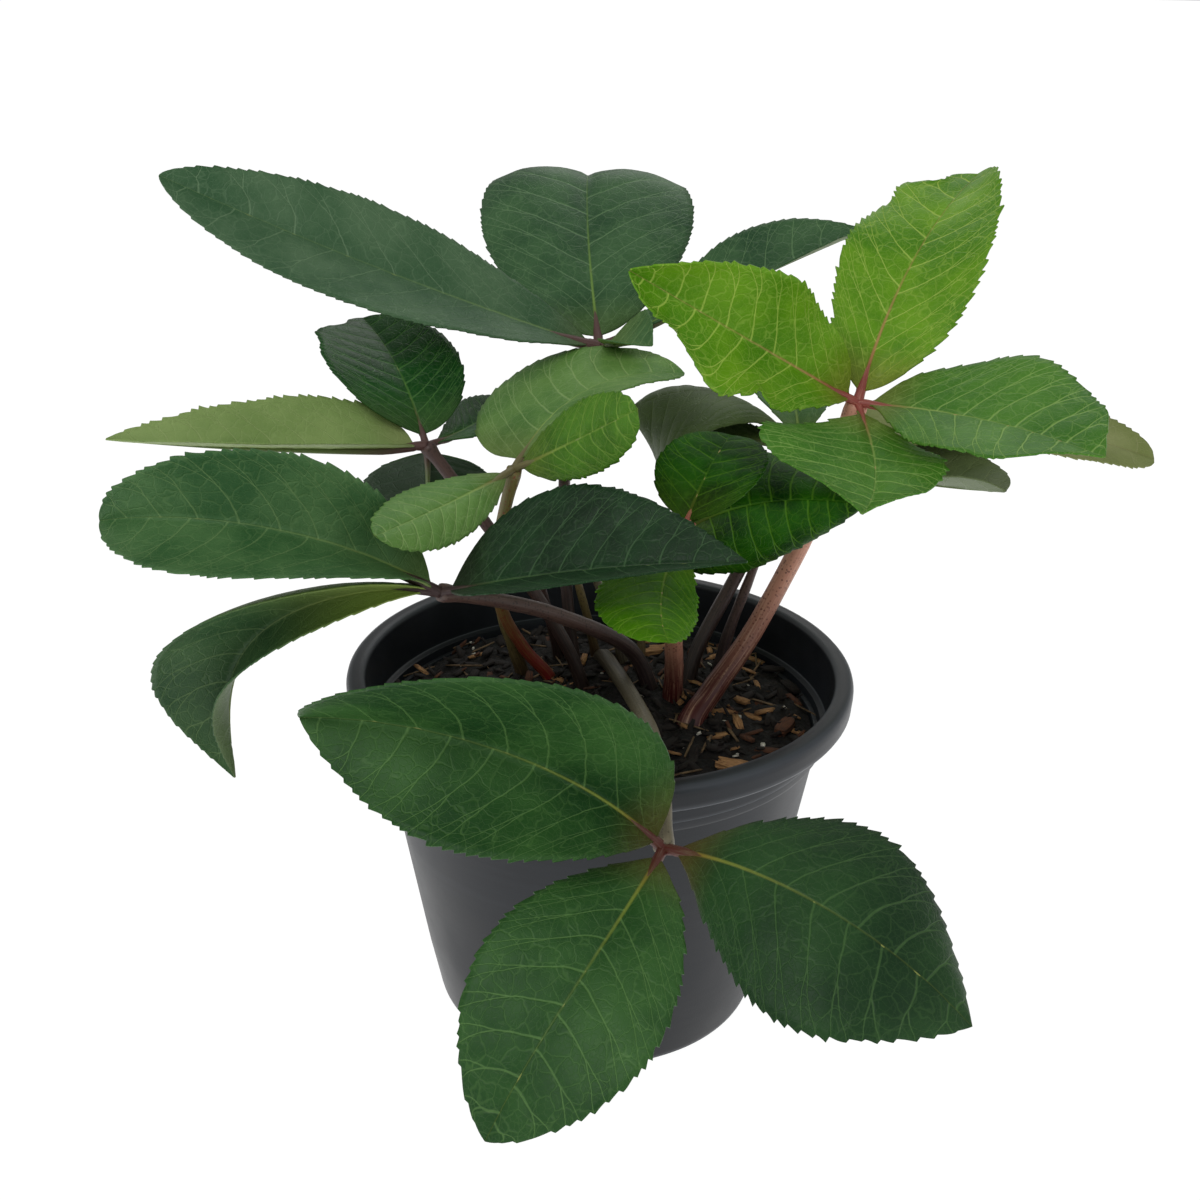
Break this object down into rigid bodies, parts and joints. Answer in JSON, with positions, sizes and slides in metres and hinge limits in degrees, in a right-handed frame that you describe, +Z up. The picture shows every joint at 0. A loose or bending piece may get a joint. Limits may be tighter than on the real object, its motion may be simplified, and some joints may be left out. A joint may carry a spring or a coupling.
{
  "type": "potted hellebore",
  "caption": "Young hellebore with serrated leathery leaflets on long arching petioles, rooted in bark compost in a tapered round nursery pot with a rolled rim.",
  "frame": {"origin": "centre of the pot's flat base, on the ground", "axes": "+Z up along the pot's axis, -Y towards the front, where the low leaf hangs over the rim, +X to the plant's right as seen from the front"},
  "size_m": [0.3485, 0.3166, 0.2734],
  "materials": {
    "pot_plastic": "moulded satin charcoal plastic",
    "compost": "moist dark potting compost",
    "bark": "rough broken bark",
    "petiole_grey": "grooved fresh stem, grey-brown",
    "petiole_red": "grooved fresh stem, speckled red-brown",
    "petiole_dark": "grooved fresh stem, dark brown",
    "blade_dark": "leathery leaf blade, satin dark green",
    "blade_bluish": "leathery leaf blade, satin bluish green",
    "blade_pale": "leathery leaf blade, pale grey-green",
    "blade_olive": "leathery leaf blade, olive green",
    "blade_bright": "leathery leaf blade, bright yellow-green"
  },
  "bodies": {
    "root": {"bark_chip_1": "bark", "bark_chip_2": "bark", "bark_chip_3": "bark", "bark_chip_4": "bark", "bark_chip_5": "bark", "bark_chip_6": "bark", "compost": "compost", "leaflet_a1": "blade_dark", "leaflet_a2": "blade_dark", "leaflet_a3": "blade_dark", "leaflet_b1": "blade_bluish", "leaflet_b2": "blade_bluish", "leaflet_b3": "blade_bluish", "leaflet_c1": "blade_pale", "leaflet_c2": "blade_pale", "leaflet_c3": "blade_pale", "leaflet_d1": "blade_olive", "leaflet_d2": "blade_olive", "leaflet_d3": "blade_olive", "leaflet_d4": "blade_olive", "leaflet_e1": "blade_bluish", "leaflet_e2": "blade_bluish", "leaflet_e3": "blade_bluish", "leaflet_e4": "blade_bluish", "leaflet_f1": "blade_bright", "leaflet_f2": "blade_bright", "leaflet_f3": "blade_bright", "leaflet_f4": "blade_bright", "leaflet_g1": "blade_dark", "leaflet_g2": "blade_dark", "leaflet_g3": "blade_dark", "leaflet_h1": "blade_olive", "leaflet_h2": "blade_olive", "leaflet_h3": "blade_olive", "leaflet_h4": "blade_olive", "leaflet_h5": "blade_olive", "petiole_a": "petiole_grey", "petiole_b": "petiole_grey", "petiole_c": "petiole_red", "petiole_d": "petiole_dark", "petiole_e": "petiole_dark", "petiole_f": "petiole_red", "petiole_g": "petiole_red", "petiole_h": "petiole_dark", "pot": "pot_plastic"}
  },
  "joints": []
}
